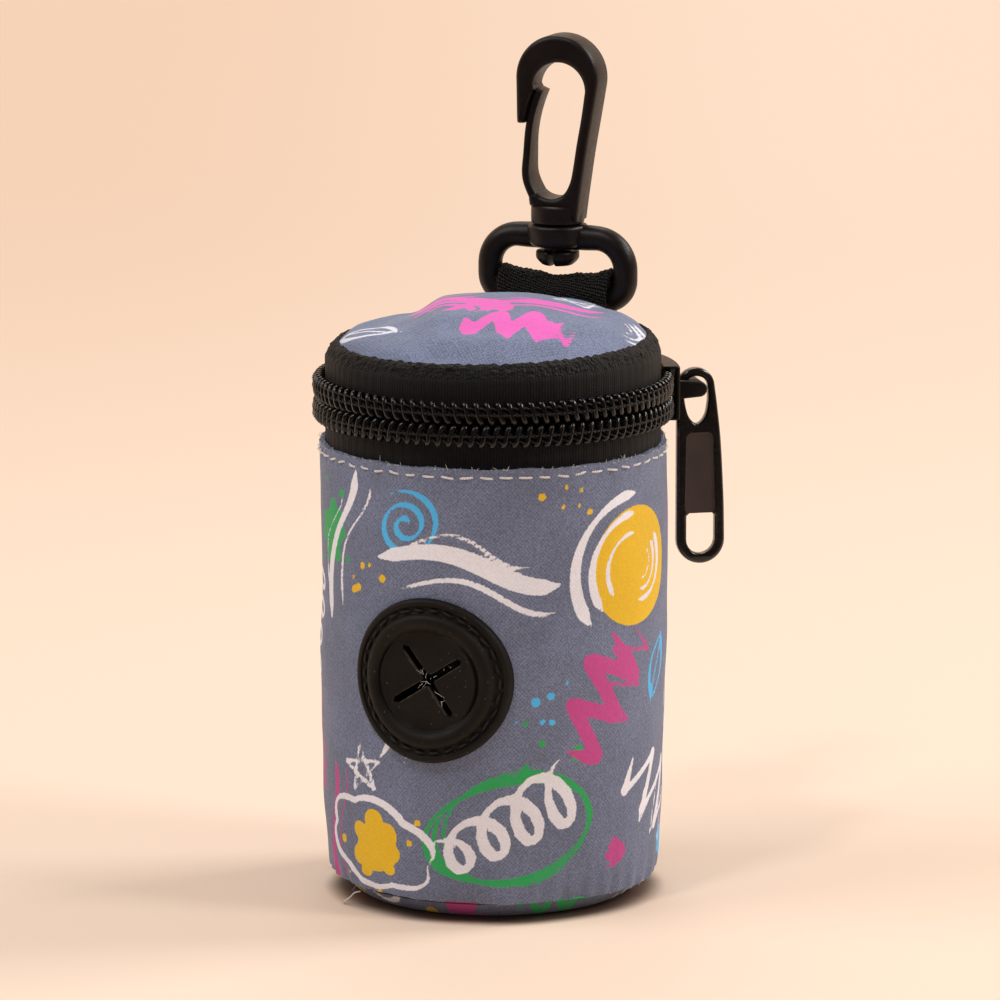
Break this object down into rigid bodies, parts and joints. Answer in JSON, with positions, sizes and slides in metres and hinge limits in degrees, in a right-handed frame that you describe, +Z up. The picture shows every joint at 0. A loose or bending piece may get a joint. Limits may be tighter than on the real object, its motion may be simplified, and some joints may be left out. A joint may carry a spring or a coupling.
{
  "type": "dog poop bag dispenser",
  "caption": "Round zipped fabric pouch with a slit rubber grommet at the front, a hinged domed lid and a swivel snap hook on a strap.",
  "frame": {"origin": "centre of the base's flat underside", "axes": "+Z up through the pouch, -Y out of the front through the slit grommet, +Y towards the lid's hinge and the strap"},
  "size_m": [0.0533, 0.0553, 0.1182],
  "materials": {
    "printed_cloth": "matte printed polyester",
    "foam": "matte",
    "lining": "matte",
    "board": "matte",
    "white_thread": "matte",
    "black_thread": "matte",
    "zip_tape": "woven matte",
    "zip_coil": "semi gloss",
    "grommet_rubber": "satin",
    "black_enamel": "gloss",
    "webbing": "woven matte",
    "hook_plastic": "satin",
    "core_card": "matte",
    "bag_film": "satin"
  },
  "bodies": {
    "pouch": {"body_shell": "printed_cloth", "body_foam": "foam", "body_lining": "lining", "base_panel": "printed_cloth", "base_board": "board", "base_lining": "lining", "rim_topstitch": "white_thread", "lower_tape": "zip_tape", "lower_coil": "zip_coil", "upper_tape_ends": "zip_tape", "hinge_patch_lower": "zip_tape", "grommet": "grommet_rubber", "grommet_stitching": "black_thread"},
    "flap_top": {"slit_flap_top": "grommet_rubber"},
    "flap_left": {"slit_flap_left": "grommet_rubber"},
    "flap_bottom": {"slit_flap_bottom": "grommet_rubber"},
    "flap_right": {"slit_flap_right": "grommet_rubber"},
    "slider": {"zip_slider": "black_enamel"},
    "pull": {"zip_pull": "black_enamel"},
    "lid": {"lid_panel": "printed_cloth", "lid_foam": "foam", "lid_lining": "lining", "upper_tape": "zip_tape", "upper_coil": "zip_coil", "hinge_patch_upper": "zip_tape", "strap_loop": "webbing"},
    "ring": {"swivel_ring": "hook_plastic"},
    "hook": {"snap_hook": "hook_plastic"},
    "gate": {"hook_gate": "hook_plastic"},
    "roll": {"roll_core": "core_card", "bag_roll": "bag_film"}
  },
  "joints": [
    {"name": "lid_hinge", "type": "hinge", "parent": "pouch", "child": "lid", "pos_m": [0, 0.0243, 0.0705], "axis": [-1, 0, 0], "range_deg": [0, 105]},
    {"name": "slider_travel", "type": "hinge", "parent": "pouch", "child": "slider", "pos_m": [0, 0, 0.0705], "axis": [0, 0, -1], "range_deg": [0, 248], "deforming": ["upper_coil", "lower_coil"]},
    {"name": "pull_swing", "type": "hinge", "parent": "slider", "child": "pull", "pos_m": [0.02413, 0.01627, 0.0705], "axis": [0.5592, -0.829, 0], "range_deg": [0, 165]},
    {"name": "ring_swing", "type": "hinge", "parent": "lid", "child": "ring", "pos_m": [0, 0.0251, 0.0804], "axis": [1, 0, 0], "range_deg": [-75, 50]},
    {"name": "hook_swivel", "type": "hinge", "parent": "ring", "child": "hook", "pos_m": [0, 0.0251, 0.09095], "axis": [0, 0, 1], "continuous": true},
    {"name": "gate_flex", "type": "hinge", "parent": "hook", "child": "gate", "pos_m": [-0.0031, 0.0251, 0.096], "axis": [0, 1, 0], "range_deg": [0, 20], "stiffness_Nm_per_rad": 0.02},
    {"name": "flap_top_flex", "type": "hinge", "parent": "pouch", "child": "flap_top", "pos_m": [0.00075, -0.02475, 0.03856], "axis": [-0.9833, 0, 0.1822], "range_deg": [0, 45], "stiffness_Nm_per_rad": 0.002},
    {"name": "flap_left_flex", "type": "hinge", "parent": "pouch", "child": "flap_left", "pos_m": [-0.00428, -0.02475, 0.03529], "axis": [-0.1822, 0, -0.9833], "range_deg": [0, 45], "stiffness_Nm_per_rad": 0.002},
    {"name": "flap_bottom_flex", "type": "hinge", "parent": "pouch", "child": "flap_bottom", "pos_m": [-0.00075, -0.02475, 0.03044], "axis": [0.9833, 0, -0.1822], "range_deg": [0, 45], "stiffness_Nm_per_rad": 0.002},
    {"name": "flap_right_flex", "type": "hinge", "parent": "pouch", "child": "flap_right", "pos_m": [0.00428, -0.02475, 0.03371], "axis": [0.1822, 0, 0.9833], "range_deg": [0, 45], "stiffness_Nm_per_rad": 0.002},
    {"name": "roll_spin", "type": "hinge", "parent": "pouch", "child": "roll", "pos_m": [0, 0, 0.03325], "axis": [0, 0, 1], "continuous": true}
  ]
}
